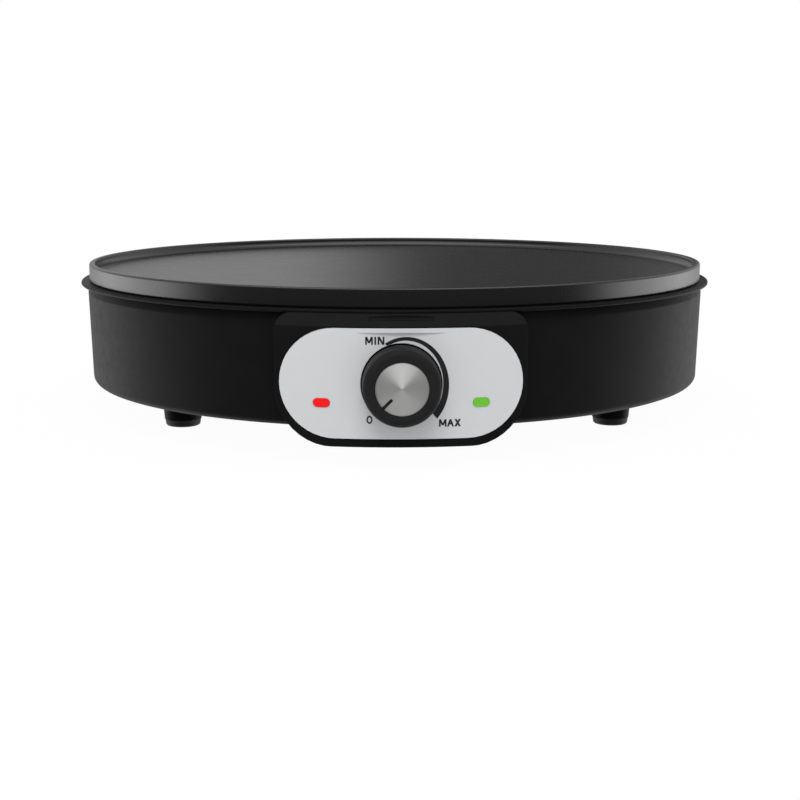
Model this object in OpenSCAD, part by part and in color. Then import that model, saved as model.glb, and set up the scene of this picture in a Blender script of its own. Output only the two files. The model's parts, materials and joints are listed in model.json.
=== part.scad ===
// Electric crepe maker: a cast griddle plate on a round moulded base, with a control panel in front.
// Millimetres. Z is up, z = 0 is the table top and the control panel faces -Y.

/* [Cooking plate] */
// Diameter over the plate's rim
plate_d = 304; // [290:1:340]
// Height of the rim above the table
rim_z = 72; // [70:0.5:86]
// Width of the rim's top
rim_w = 3; // [2:0.1:6]
// Radius on the rim's edges
rim_round = 0.9; // [0.3:0.1:0.9]
// Depth of the cooking surface below the rim
dish_depth = 4.5; // [3.5:0.1:7]
// Radius of the hollow fillet inside the rim
dish_fillet = 3.4; // [1:0.1:6]
// Thickness of the plate under the cooking surface
plate_t = 4; // [3.5:0.1:6]
// Depth of the rib that centres the plate in the collar
centring_rib_h = 2.6; // [1:0.1:4]
// Thickness of the plate's centring and stiffening ribs
plate_rib_t = 3; // [2:0.1:5]
// Number of stiffening ribs under the plate's middle
plate_rib_count = 8; // [4:1:12]

/* [Heating element] */
// Distance from the posts' circle in to the middle of the element's tube
element_inset = 20; // [19:0.5:30]
// Diameter of the element's tube
element_tube_d = 7; // [6:0.1:8]
// Angle left open between the loop's two ends, in degrees
element_open = 30; // [26:1:44]
// Bend radius where the loop's ends turn down
element_bend_r = 8.5; // [8:0.1:10]
// Straight length of each cold end below its bend
element_leg = 8; // [6:0.5:12]
// Wall of the cast channel on each side of the tube
channel_wall = 2.6; // [1.5:0.1:4]

/* [Heat shield] */
// Sheet thickness of the heat shield
shield_t = 0.8; // [0.5:0.1:1.2]
// Gap between the heat shield's edge and the base's land
shield_gap = 10.6; // [6:0.1:14]
// Height of the heat shield's raised edge
shield_edge_h = 8; // [4:0.5:9]

/* [Plate posts] */
// Angle of the posts to either side, in degrees from the X axis
post_angle = 60; // [50:1:62]
// Distance of the posts from the edge of the heat shield's floor
post_inset = 16; // [13:0.5:22]
// Diameter of the posts
post_d = 11; // [10:0.5:13]
// Length of the bosses cast under the plate
boss_h = 13.5; // [13:0.1:15]
// Diameter of the post screws' threads
post_screw_d = 4; // [3:0.1:5]
// Depth of the thread in each plate boss
post_thread_h = 9; // [6:0.5:11]
// Height of the screw heads' seats above the table
screw_seat_z = 28; // [24:0.5:34]

/* [Collar ring] */
// How far the collar's ledge stands out past the plate
collar_reach = 4; // [2:0.1:5]
// Thickness of the collar's ledge
collar_t = 1.6; // [1.2:0.1:3]
// Width of the collar's ledge under the plate
collar_seat_w = 10; // [9:0.1:12]
// Height of the shadow gap between the ledge and the base
shadow_gap = 0.5; // [0.3:0.1:1.5]
// Depth of the spigot that centres the collar in the base
spigot_h = 5; // [2:0.1:6]
// Thickness of the spigot
spigot_t = 1.6; // [1:0.1:2.5]

/* [Base housing] */
// How far the base's widest part stands out past the plate
base_reach = 0.8; // [0.2:0.1:2]
// How much the base's radius narrows towards the bottom
base_taper = 1.1; // [0:0.1:4]
// Radius on the base's bottom edge
base_edge_r = 3.1; // [1:0.1:6]
// Wall thickness of the base
wall_t = 2.4; // [2:0.1:3]
// Floor thickness of the base
floor_t = 2.4; // [2:0.1:3.5]
// Height of the base's underside above the table
floor_z = 14.2; // [12:0.1:16]
// Height of the bevelled shoulder round the base's top
shoulder_h = 3.4; // [1:0.1:5]
// How far the shoulder slopes in
shoulder_in = 1; // [0.6:0.1:3]
// Width of the land that carries the collar
land_w = 4.2; // [2:0.1:5]
// Number of vent slots in each ring
vent_count = 20; // [8:4:24]
// Width of a vent slot
vent_w = 3; // [2:0.1:5]
// Length of a vent slot
vent_l = 18; // [8:1:22]
// Radius of the vent ring at the slots' middle
vent_r = 74; // [60:1:80]
// Number of radial ribs on the floor
floor_rib_count = 8; // [4:4:8]
// Thickness of the floor ribs
floor_rib_t = 1.8; // [1.2:0.1:3]
// Height of the floor ribs
floor_rib_h = 4; // [2:0.5:6]

/* [Control housing] */
// How far the fascia's face stands out past the plate
face_reach = 10; // [8:0.1:14]
// Width of the fascia
fascia_w = 99; // [90:0.5:104]
// Thickness of the fascia
fascia_t = 2; // [1.2:0.1:3]
// How far the fascia stands proud of its housing
fascia_proud = 0.5; // [0.1:0.1:1]
// Play round the fascia in its recess
fascia_play = 0.15; // [0.05:0.05:0.5]
// Housing left showing at each end of the fascia
housing_side = 2; // [1:0.1:4]
// Housing left showing below the fascia
housing_below = 3.7; // [2:0.1:6]
// How far the control housing hangs below the base
housing_drop = 5.9; // [3:0.1:8]
// Radius of the control housing's lower corners
housing_corner_r = 24; // [18:0.5:26]
// Radius of the control housing's upper corners
housing_brow_r = 7; // [4:0.5:8]
// Height from the shoulder down to the fascia's top edge
fascia_below_shoulder = 1.1; // [1:0.1:3]
// How far the brow over the fascia stands out past the plate
brow_reach = 6; // [5.5:0.1:7]
// How far the brow's top edge lies below the top of the collar's ledge
brow_under = 1.2; // [0.8:0.1:2]
// Length of the scoop in the brow
scoop_l = 26; // [15:1:40]
// Radius of the scoop's round section
scoop_r = 1.4; // [1:0.1:2]
// Depth of the scoop
scoop_depth = 1.1; // [0.7:0.1:1.3]
// Height of the lip left above the fascia's flat
facet_lip = 1.8; // [1:0.1:4]
// Depth of the fascia's flat at its top
facet_depth = 1; // [0.3:0.1:1.2]
// Diameter of the fascia's mounting pegs
peg_d = 3; // [2:0.1:4]
// Distance of the pegs from the fascia's ends
peg_in = 7.5; // [6.5:0.5:11]
// Height of each peg above or below the fascia's middle
peg_z = 10; // [6:0.5:12]

/* [Indicator lamps] */
// Width of an indicator lens
lens_w = 6.9; // [5:0.1:9]
// Height of an indicator lens
lens_h = 3.6; // [3:0.1:5]
// Distance of a lens from the fascia's end
lens_in = 17.2; // [15:0.1:20]
// Height of the lenses below the knob's axis
lens_drop = 7.9; // [4:0.1:10]
// How far a lens stands proud of the fascia
lens_proud = 0.3; // [0:0.1:0.8]
// Diameter of a neon lamp
neon_d = 5; // [4:0.1:6]
// Length of a neon lamp
neon_l = 11; // [8:0.5:14]

/* [Knob] */
// Diameter of the knob
knob_d = 32; // [27:0.1:34]
// Height of the knob
knob_h = 12.4; // [11:0.1:18]
// Gap between the knob and the fascia
knob_gap = 0.6; // [0.4:0.1:1.5]
// Gap round the knob in the fascia's opening
opening_gap = 0.5; // [0.3:0.1:2]
// Wall thickness of the knob
knob_wall = 2.2; // [1.6:0.1:2.6]
// Radius on the knob's front edge
knob_round = 2.6; // [0.4:0.1:3]
// Diameter of the knob's metal cap
cap_d = 21.4; // [16:0.1:22]
// Thickness of the cap
cap_t = 1.2; // [0.6:0.1:1.6]
// How far the cap is set below the knob's front
cap_sunk = 0.4; // [0.1:0.1:0.8]
// Width of the pointer
pointer_w = 1.2; // [0.8:0.1:2]
// Distance from the axis to the pointer's inner end
pointer_start = 5.7; // [3:0.1:8]
// Angle of the pointer at rest, in degrees from +X seen from the front
pointer_rest = 225; // [200:1:240]
// Turn of the knob from off to its highest setting, in degrees
knob_turn = 265; // [200:1:275]

/* [Thermostat] */
// Diameter of the spindle
spindle_d = 6; // [5:0.1:6.4]
// Distance from the spindle's axis to its flat
spindle_flat = 1.6; // [1:0.1:2.2]
// Radial running gap of the spindle in its bush
running_gap = 0.05; // [0.02:0.01:0.1]
// Pitch of the adjusting thread
thread_pitch = 1; // [0.5:0.05:1.1]
// Diameter of the bush's threaded barrel
bush_d = 9; // [8.6:0.1:10]
// Sheet thickness of the bracket
bracket_t = 1.5; // [1:0.1:2]
// Sheet thickness of the thermostat's frame
frame_t = 1.2; // [0.8:0.1:1.6]
// Width of the bracket
bracket_w = 44; // [42:0.5:50]
// Gap from the housing's front wall back to the bracket
bracket_back = 7.6; // [6.5:0.1:9]
// Distance from the spindle to the contact stack
stack_x = 15.5; // [14.5:0.1:16]
// Diameter of the stack's ceramic washers
washer_d = 10; // [8:0.1:10.5]
// Thickness of the long ceramic washer next to the frame
washer_long = 8.8; // [8.6:0.1:11]
// Thickness of the short ceramic washers
washer_short = 3; // [2.6:0.1:5]
// Thickness of a contact blade
blade_t = 0.5; // [0.3:0.05:0.8]
// Width of a contact blade
blade_w = 6; // [4:0.1:7]
// Thickness of the bimetal strip
bimetal_t = 1; // [0.6:0.1:1.4]
// Diameter of the ceramic adjusting pin
pin_d = 3; // [2:0.1:3.4]

/* [Thermal fuse] */
// Diameter of the thermal fuse
fuse_d = 4.4; // [3.5:0.1:5]
// Length of the thermal fuse
fuse_l = 12; // [9:0.5:14]
// Distance from the element's loop in to the fuse
fuse_inset = 22; // [20:0.5:28]
// Sheet thickness of the fuse's clip
clip_t = 0.8; // [0.5:0.1:1]

/* [Supply] */
// Radius of the cable hole in the gland
gland_hole_r = 3.6; // [3:0.1:4.2]
// Radius of the gland's barrel
gland_barrel_r = 6; // [5.6:0.1:7]
// Radius of the gland's outer flange
gland_flange_r = 9; // [8.5:0.1:10]
// Thickness of the gland's outer flange
gland_flange_t = 2; // [1:0.1:2]
// Height of the gland above the base's underside
gland_up = 17; // [15:0.5:22]
// Distance from the gland's pad to the middle of the terminal block
block_back = 34.5; // [30:0.5:38]
// Length of the terminal block
block_l = 33; // [28:0.5:38]
// Width of the terminal block
block_w = 16; // [14:0.5:18]
// Height of the terminal block
block_h = 13; // [11:0.5:15]
// Diameter of the internal wires
wire_d = 2.2; // [1.6:0.1:2.6]

/* [Feet] */
// Distance of the feet from the middle, sideways
foot_x = 100; // [90:1:104]
// Distance of the feet from the middle, front and back
foot_y = 70; // [60:1:78]
// Diameter of a foot where it leaves the base
foot_top_d = 19; // [17:0.1:22]
// Diameter of a foot's rubber pad
foot_pad_d = 16.6; // [15:0.1:17]
// Thickness of the rubber pad
pad_t = 3.2; // [2:0.1:5]
// Diameter of the pad's stem
stem_d = 6; // [4:0.1:7]
// Length of the pad's stem
stem_l = 6; // [4:0.1:7]

/* [Hidden] */
$fn = 96;
small_gap = 0.3;  // between neighbours that don't touch
overlap = 0.5;    // how far a raised feature is rooted in its own piece
past = 1;         // how far a cutting shape reaches past what it cuts

// plate
plate_r = plate_d / 2;
cook_z = rim_z - dish_depth;
plate_under_z = cook_z - plate_t;
rim_in_r = plate_r - rim_w;
edge_round = min(rim_round, 0.45 * rim_w);
hollow_r = min(dish_fillet, dish_depth - edge_round - 0.1);
boss_z = plate_under_z - boss_h;

// collar and base heights, from the plate down
collar_z = plate_under_z - collar_t;
collar_r = plate_r + collar_reach;
collar_in_r = plate_r - collar_seat_w;
base_top_z = collar_z - shadow_gap;
shoulder_z = base_top_z - shoulder_h;
base_r = plate_r + base_reach;
base_low_r = base_r - base_taper;
land_out_r = base_r - shoulder_in;
land_in_r = land_out_r - land_w;
spigot_r = land_in_r - small_gap;
floor_top_z = floor_z + floor_t;

// heat shield, posts and element, from the base's land inwards
shield_rise = 6;  // width of the shield's sloping edge
shield_lip = 3;
shield_edge_r = land_in_r - shield_gap - shield_lip;
shield_floor_r = shield_edge_r - shield_rise;
post_circle_r = shield_floor_r - post_inset;
element_r = post_circle_r - element_inset;
fuse_y = element_r - fuse_inset;

// heating element
tube_r = element_tube_d / 2;
tube_play = 0.05;
channel_lip = 1;  // depth of the staked lips below the tube's middle
element_z = plate_under_z - tube_r - tube_play - 0.1;
channel_z = element_z - tube_r * 0.5 - channel_lip;
element_start = 90 + element_open / 2;
leg_top_z = element_z - element_bend_r;
leg_end_z = leg_top_z - element_leg;
stud_r = 1.25;
seal_h = 5;
seal_r = tube_r + 0.6;
tab_w = 6.3;
tab_h = 9;
tab_t = 0.8;
tab_z = leg_end_z - seal_h - tab_h;
leg_angle = 90 - element_open / 2;
leg_x = element_r * cos(leg_angle) - element_bend_r * sin(leg_angle);
leg_y = element_r * sin(leg_angle) + element_bend_r * cos(leg_angle);

// heat shield, clamped between the plate's bosses and the base's posts
shield_z = boss_z - shield_t;

// control housing and fascia, concentric with the plate
face_r = plate_r + face_reach;
fascia_back_r = face_r - fascia_t;
housing_face_r = face_r - fascia_proud;
front_wall_r = fascia_back_r - wall_t;
brow_r = plate_r + brow_reach;
brow_top_z = plate_under_z - brow_under;
housing_bottom_z = floor_z - housing_drop;
fascia_top_z = shoulder_z - fascia_below_shoulder;
fascia_bottom_z = housing_bottom_z + housing_below;
fascia_h = fascia_top_z - fascia_bottom_z;
knob_z = (fascia_top_z + fascia_bottom_z) / 2;
housing_w = fascia_w + 2 * housing_side;
housing_back_r = plate_r - 36;
ramp_l = 9;
cavity_top_z = base_top_z - 6;
facet_top_z = fascia_top_z - facet_lip;
lens_z = knob_z - lens_drop;
lens_x = fascia_w / 2 - lens_in;
peg_x = fascia_w / 2 - peg_in;
sector = 64;  // angle of the revolved control housing

// thermostat, in distances from the plate's axis towards the front
bracket_front = front_wall_r - bracket_back;
frame_front = bracket_front - bracket_t;
frame_back = frame_front - frame_t;
bush_flange_t = 1;
bush_flange_r = bush_d / 2 + 1.5;
bush_back = frame_back - bush_flange_t;
bush_front = front_wall_r + 0.4;
spindle_r = spindle_d / 2;
stop_t = 1.5;
stop_front = bush_back - small_gap;
stop_back = stop_front - stop_t;
spindle_back = stop_back - 0.6;
blade_front = frame_back - washer_long;
first_blade = blade_front - blade_t;
second_washer = first_blade - washer_short;
second_blade = second_washer - blade_t;
third_washer = second_blade - washer_short;
bimetal_back = third_washer - bimetal_t;
rivet_r = 1.6;
blade_tail = washer_d / 2 + 9;  // from the rivet to the blades' wired ends
tail_x = stack_x + blade_tail;
tip_x = -8;      // free end of the blades
contact_x = -5;  // contacts and the striker that parts them
pin_r = pin_d / 2;
pin_travel = thread_pitch * knob_turn / 360;
pin_back = blade_front + small_gap + pin_travel;
pin_hole_depth = 6;
pin_front = spindle_back + pin_hole_depth - small_gap;
stop_tab_in = bush_flange_r + small_gap;
stop_tab_out = stop_tab_in + 2.4;
lug_r = stop_tab_out - 0.4;
lug_half = 11;     // half the angle that the lug fills
stop_clear = 2.5;  // angle left between the lug and the tab at either end of the turn
tab_half = (360 - knob_turn) / 2 - lug_half - stop_clear;
tab_middle = pointer_rest + (360 - knob_turn) / 2;
bracket_screw_x = 11;
bracket_screw_y = shield_floor_r - 2;
bracket_boss_h = 9.5;
bracket_screw_r = 1.95;
bracket_screw_l = 7.5;  // length of its thread in the plate
tab_screw_r = 1.45;
tab_screw_l = 2.5;
bracket_top_z = plate_under_z - bracket_boss_h;
bracket_low_z = knob_z - 14;

// knob
knob_back = face_r + knob_gap;
knob_front = knob_back + knob_h;
cap_front = knob_front - cap_sunk;
cap_back = cap_front - cap_t;
hub_r = spindle_r + 2.4;
knob_skin = 2;
spindle_front = cap_back - knob_skin - small_gap;

// the origin lies under the middle of the whole outline
centre_shift = (knob_front - collar_r) / 2;

// supply
gland_z = floor_z + gland_up;
gland_seat_y = collar_r - gland_flange_t - 0.5;
gland_pad_t = 5;
gland_back_y = gland_seat_y - gland_pad_t;
gland_nut_t = 3;
block_y = gland_back_y - block_back;
block_pitch = block_l / 3;
fuse_r = fuse_d / 2;
fuse_z = plate_under_z - fuse_r - 0.1;
clip_screw_y = fuse_y - fuse_r - 6.8;
tag_at = [-36, 56];
block_in_y = block_y - block_w / 2;
block_wire_z = floor_top_z + block_h / 2;

// points of an arc about centre c
function arc(c, r, from, to, steps = 6) =
    [for (i = [0:steps]) let (a = from + (to - from) * i / steps) c + r * [cos(a), sin(a)]];

// an upright box with its own radius at the lower and the upper corners
function rounded_box(half_w, low, high, low_r, high_r) = concat(
    arc([half_w - low_r, low + low_r], low_r, -90, 0, 10),
    arc([half_w - high_r, high - high_r], high_r, 0, 90, 6),
    arc([high_r - half_w, high - high_r], high_r, 90, 180, 6),
    arc([low_r - half_w, low + low_r], low_r, 180, 270, 10));

// a box whose ends are full half circles, lying along X
function pill(w, h, steps = 12) = concat(
    arc([w / 2 - h / 2, 0], h / 2, -90, 90, steps),
    arc([h / 2 - w / 2, 0], h / 2, 90, 270, steps));

// every piece is drawn about the plate's axis and then moved to the origin
module placed() {
    translate([0, centre_shift, 0]) children();
}

module revolve(points) {
    rotate_extrude() polygon(points);
}

module revolve_front(points) {
    rotate([0, 0, -90 - sector / 2]) rotate_extrude(angle = sector) polygon(points);
}

module ring(r_in, r_out, low, high) {
    revolve([[r_in, low], [r_out, low], [r_out, high], [r_in, high]]);
}

// children drawn in the front view, X across and Y up, start this far forward of the plate's axis
module facing_front(reach) {
    translate([0, -reach, 0]) rotate([90, 0, 0]) children();
}

// the same, centred on the knob's axis
module on_knob_axis(reach) {
    translate([0, -reach, knob_z]) rotate([90, 0, 0]) children();
}

module at_posts() {
    for (angle = [post_angle, 180 - post_angle, 180 + post_angle, 360 - post_angle])
        rotate([0, 0, angle]) translate([post_circle_r, 0, 0]) children();
}

module at_feet() {
    for (x = [-foot_x, foot_x], y = [-foot_y, foot_y]) translate([x, y, 0]) children();
}

/* ---- cooking plate ---- */

module plate_disc() {
    rim_top = [[rim_in_r, cook_z + hollow_r]];
    revolve(concat(
        [[0, plate_under_z], [plate_r - edge_round, plate_under_z]],
        arc([plate_r - edge_round, plate_under_z + edge_round], edge_round, -90, 0, 3),
        arc([plate_r - edge_round, rim_z - edge_round], edge_round, 0, 90, 4),
        arc([rim_in_r + edge_round, rim_z - edge_round], edge_round, 90, 180, 4),
        rim_top,
        arc([rim_in_r - hollow_r, cook_z + hollow_r], hollow_r, 0, -90, 7),
        [[0, cook_z]]));
}

// cast channel that the heating element is staked into
module element_channel() {
    half = tube_r + channel_wall;
    rotate([0, 0, element_start]) rotate_extrude(angle = 360 - element_open)
        translate([element_r - half, channel_z])
            square([2 * half, plate_under_z - channel_z + overlap]);
}

module element_groove() {
    rotate_extrude() translate([element_r, element_z]) circle(tube_r + tube_play);
    mouth = 0.9 * tube_r;
    ring(element_r - mouth, element_r + mouth, channel_z - past, element_z);
}

module plate_ribs() {
    hub_r = 14;
    ring(hub_r, hub_r + plate_rib_t, plate_under_z - centring_rib_h, plate_under_z + overlap);
    start = hub_r + plate_rib_t / 2;
    reach = fuse_y - 18 - start;
    for (i = [0:plate_rib_count - 1]) rotate([0, 0, (i + 0.5) * 360 / plate_rib_count])
        translate([start, -plate_rib_t / 2, plate_under_z - centring_rib_h])
            cube([reach, plate_rib_t, centring_rib_h + overlap]);
}

module cooking_plate() color("dimgray") {
    rib_out_r = collar_in_r - small_gap;
    difference() {
        union() {
            plate_disc();
            ring(rib_out_r - plate_rib_t, rib_out_r, plate_under_z - centring_rib_h,
                 plate_under_z + overlap);
            element_channel();
            plate_ribs();
            at_posts() translate([0, 0, boss_z]) cylinder(h = boss_h + overlap, d = post_d);
            at_bracket_screws(bracket_top_z) cylinder(h = bracket_boss_h + overlap, r = 4);
        }
        element_groove();
        at_posts() translate([0, 0, boss_z - past])
            cylinder(h = post_thread_h + past + small_gap, d = post_screw_d + 2 * tube_play);
        at_bracket_screws(bracket_top_z - past)
            cylinder(h = bracket_screw_l + small_gap + past, r = bracket_screw_r + tube_play);
        at_tab_screws() translate([0, 0, -past])
            cylinder(h = past + tab_screw_l + small_gap, r = tab_screw_r + tube_play);
    }
}

/* ---- heating element ---- */

// the loop's two ends; each child's +X points out of the loop's end
module at_element_ends() {
    for (side = [0, 1]) mirror([side, 0, 0])
        rotate([0, 0, 90 - element_open / 2]) translate([element_r, 0, 0])
            rotate([0, 0, 90]) children();
}

module heating_element() color("slategray") {
    rotate([0, 0, element_start]) rotate_extrude(angle = 360 - element_open)
        translate([element_r, element_z]) circle(tube_r);
    at_element_ends() {
        translate([0, 0, leg_top_z]) rotate([90, 0, 0]) rotate_extrude(angle = 90)
            translate([element_bend_r, 0]) circle(tube_r);
        translate([element_bend_r, 0, leg_end_z]) cylinder(h = element_leg, r = tube_r);
    }
}

module element_seals() color("white") {
    at_element_ends() translate([element_bend_r, 0, leg_end_z - seal_h]) difference() {
        union() {
            cylinder(h = seal_h - 1.5, r = seal_r - 0.6);
            translate([0, 0, seal_h - 2]) cylinder(h = 2, r = seal_r);
        }
        translate([0, 0, -past]) cylinder(h = seal_h + 2 * past, r = stud_r + tube_play);
    }
}

module element_tabs() color("silver") {
    at_element_ends() translate([element_bend_r, 0, leg_end_z - seal_h]) {
        cylinder(h = seal_h - small_gap, r = stud_r);
        difference() {
            translate([-tab_t / 2, -tab_w / 2, -tab_h]) cube([tab_t, tab_w, tab_h]);
            translate([-past, 0, 2.5 - tab_h]) rotate([0, 90, 0]) cylinder(h = 2 * past, r = 0.9);
        }
    }
}

/* ---- heat shield ---- */

module heat_shield() color("lightsteelblue") {
    notch_x = bracket_w / 2 + 2;
    notch_l = shield_edge_r - bracket_screw_y + 2 * shield_lip + 6;
    window_x = leg_x + seal_r + 2;
    through = shield_t + 2 * past;
    difference() {
        revolve([[0, shield_z], [shield_floor_r, shield_z],
                 [shield_edge_r, shield_z + shield_edge_h],
                 [shield_edge_r + shield_lip, shield_z + shield_edge_h],
                 [shield_edge_r + shield_lip, shield_z + shield_edge_h + shield_t],
                 [shield_edge_r - shield_t, shield_z + shield_edge_h + shield_t],
                 [shield_floor_r - shield_t, boss_z], [0, boss_z]]);
        // window for the element's ends
        translate([-window_x, leg_y - seal_r - 3, shield_z - past])
            cube([2 * window_x, 2 * seal_r + 6, through]);
        // notch for the thermostat's bracket
        translate([-notch_x, -shield_edge_r - 2 * shield_lip, shield_z - past])
            cube([2 * notch_x, notch_l, shield_edge_h + through]);
        at_posts() translate([0, 0, shield_z - past])
            cylinder(h = through, d = post_screw_d + 0.4);
        // cooling holes round the middle
        for (i = [0:30:330]) rotate([0, 0, i]) translate([40, 0, shield_z - past])
            cylinder(h = through, r = 4);
    }
}

/* ---- collar ring ---- */

module collar_ring() color("black") {
    nose = collar_t * 0.45;
    revolve(concat(
        [[collar_in_r, collar_z], [spigot_r - spigot_t, collar_z],
         [spigot_r - spigot_t, collar_z - shadow_gap - spigot_h],
         [spigot_r, collar_z - shadow_gap - spigot_h], [spigot_r, base_top_z],
         [land_out_r - small_gap, base_top_z], [land_out_r - small_gap, collar_z],
         [collar_r - nose, collar_z]],
        arc([collar_r - nose, collar_z + nose], nose, -90, 0, 3),
        arc([collar_r - nose, plate_under_z - nose], nose, 0, 90, 3),
        [[collar_in_r, plate_under_z]]));
}

/* ---- base housing ---- */

// outside of the tub: underside, rounded bottom edge, drafted wall and bevelled shoulder
module tub_outside() {
    revolve(concat(
        [[0, floor_z]],
        arc([base_low_r - base_edge_r, floor_z + base_edge_r], base_edge_r, -90, 0, 6),
        [[base_r, shoulder_z], [land_out_r, base_top_z], [0, base_top_z]]));
}

// inside of the tub, narrower at the top where the wall thickens into the collar's land
module tub_inside() {
    inner_edge_r = max(base_edge_r - wall_t, 0.6);
    inner_low_r = base_low_r - wall_t;
    revolve(concat(
        [[0, floor_top_z]],
        arc([inner_low_r - inner_edge_r, floor_top_z + inner_edge_r], inner_edge_r, -90, 0, 3),
        [[base_r - wall_t, base_top_z - spigot_h - 4], [land_in_r, base_top_z - spigot_h - 1],
         [land_in_r, base_top_z + past], [0, base_top_z + past]]));
}

// swelling that carries the controls: a revolved slice cut to the rounded outline
module control_housing() {
    lip = 0.8;
    intersection() {
        revolve_front(concat(
            [[housing_back_r, floor_z + floor_t / 2], [housing_back_r, floor_z],
             [housing_back_r + ramp_l, housing_bottom_z]],
            arc([housing_face_r - lip, housing_bottom_z + lip], lip, -90, 0, 3),
            [[housing_face_r, fascia_top_z + fascia_proud]],
            arc([brow_r - lip, brow_top_z - lip], lip, 30, 90, 3),
            [[collar_r + small_gap, brow_top_z], [collar_r + small_gap, base_top_z],
             [housing_back_r, base_top_z]]));
        housing_reach() polygon(rounded_box(housing_w / 2, housing_bottom_z, brow_top_z,
                                            housing_corner_r, housing_brow_r));
    }
}

// children drawn in the front view fill the control housing's whole depth
module housing_reach() {
    start = housing_back_r - 30;
    facing_front(start) linear_extrude(face_r - start + past) children();
}

// shallow scoop in the brow, a straight cut that fades towards its ends on the curved brow
module brow_scoop() {
    low = [housing_face_r, fascia_top_z + fascia_proud];
    along = [brow_r, brow_top_z] - low;
    out = [along[1], -along[0]] / norm(along);
    at = low + 0.7 * along + (scoop_r - scoop_depth) * out;
    translate([0, -at[0], at[1]]) rotate([0, 90, 0])
        cylinder(h = scoop_l, r = scoop_r, center = true);
}

module control_cavity() {
    ramp_shift = 2;
    intersection() {
        revolve_front([[housing_back_r + ramp_shift, floor_top_z],
                       [housing_back_r + ramp_l + ramp_shift, housing_bottom_z + wall_t],
                       [front_wall_r, housing_bottom_z + wall_t], [front_wall_r, cavity_top_z],
                       [housing_back_r + ramp_shift, cavity_top_z]]);
        housing_reach() polygon(rounded_box(housing_w / 2 - wall_t, housing_bottom_z + wall_t,
                                            cavity_top_z, housing_corner_r - wall_t,
                                            housing_brow_r - wall_t));
    }
}

module fascia_recess() {
    intersection() {
        revolve_front([[fascia_back_r, fascia_bottom_z - past], [face_r + past, fascia_bottom_z - past],
                       [face_r + past, fascia_top_z + past], [fascia_back_r, fascia_top_z + past]]);
        on_knob_axis(housing_back_r) linear_extrude(60)
            polygon(pill(fascia_w + 2 * fascia_play, fascia_h + 2 * fascia_play, 24));
    }
}

module vent_slots() {
    for (i = [0:vent_count - 1]) rotate([0, 0, (i + 0.5) * 360 / vent_count])
        translate([vent_r, 0, floor_z - past]) linear_extrude(floor_t + floor_rib_h + 2 * past)
            polygon(pill(vent_l, vent_w, 4));
    inner_l = 0.6 * vent_l;
    for (i = [0:vent_count / 2 - 1]) rotate([0, 0, (i + 0.5) * 720 / vent_count])
        translate([vent_r - vent_l - inner_l, 0, floor_z - past])
            linear_extrude(floor_t + floor_rib_h + 2 * past) polygon(pill(inner_l, vent_w, 4));
}

module floor_ribs() {
    inner = 18;
    ring(inner, inner + floor_rib_t, floor_top_z - overlap, floor_top_z + floor_rib_h);
    reach = base_low_r - wall_t + overlap - inner - floor_rib_t / 2;
    for (i = [0:floor_rib_count - 1]) rotate([0, 0, i * 360 / floor_rib_count])
        if (i != floor_rib_count * 3 / 4 && i != floor_rib_count / 4)
            translate([inner + floor_rib_t / 2, -floor_rib_t / 2, floor_top_z - overlap])
                cube([reach, floor_rib_t, floor_rib_h + overlap]);
}

module base_housing() color("#17181a") {
    difference() {
        union() {
            difference() {
                union() {
                    tub_outside();
                    control_housing();
                }
                tub_inside();
                control_cavity();
            }
            at_posts() translate([0, 0, floor_top_z - overlap])
                cylinder(h = shield_z - floor_top_z + overlap, d = post_d);
            at_feet() translate([0, 0, pad_t])
                cylinder(h = floor_z - pad_t + overlap, d1 = foot_pad_d + 0.4, d2 = foot_top_d);
            floor_ribs();
            // flat pad for the cable gland
            translate([0, gland_back_y, gland_z]) rotate([-90, 0, 0])
                cylinder(h = gland_pad_t, r = gland_flange_r + 2);
            // tray that holds the terminal block
            block_tray();
        }
        vent_slots();
        fascia_recess();
        brow_scoop();
        at_posts() {
            translate([0, 0, floor_z - past])
                cylinder(h = screw_seat_z - floor_z + past, d = post_d - 3);
            translate([0, 0, screw_seat_z - past])
                cylinder(h = shield_z - screw_seat_z + 2 * past, d = post_screw_d + 0.4);
        }
        at_feet() translate([0, 0, pad_t - past])
            cylinder(h = stem_l + past + small_gap, d = stem_d + 2 * tube_play);
        on_knob_axis(front_wall_r - past)
            cylinder(h = wall_t + 2 * past, r = bush_d / 2 + small_gap);
        for (side = [-1, 1]) {
            translate([side * lens_x, 0, -lens_drop]) on_knob_axis(housing_back_r)
                linear_extrude(60) polygon(pill(lens_w + 0.2, lens_h + 0.2, 8));
            for (up = [-1, 1]) at_peg(side, up)
                cylinder(h = wall_t + 4 * past, d = peg_d + 0.2, center = true);
        }
        translate([0, gland_back_y - past, gland_z]) rotate([-90, 0, 0])
            cylinder(h = gland_pad_t + 2 * past, r = gland_barrel_r + tube_play);
    }
}

module block_tray() {
    rail = 1.6;
    rail_h = 5;
    for (x = [-block_l / 2 - rail - 0.2, block_l / 2 + 0.2])
        translate([x, block_y - block_w / 2, floor_top_z - overlap])
            cube([rail, block_w, rail_h + overlap]);
}

module base_screws() color("silver") {
    shank = boss_z + post_thread_h - screw_seat_z;
    at_posts() translate([0, 0, screw_seat_z]) {
        cylinder(h = shank, d = post_screw_d);
        difference() {
            translate([0, 0, -2.4]) cylinder(h = 2.4, d = 1.75 * post_screw_d);
            for (turn = [0, 90]) rotate([0, 0, turn])
                translate([-1.8, -0.4, -2.4 - past]) cube([3.6, 0.8, past + 1.2]);
        }
    }
}

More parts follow.
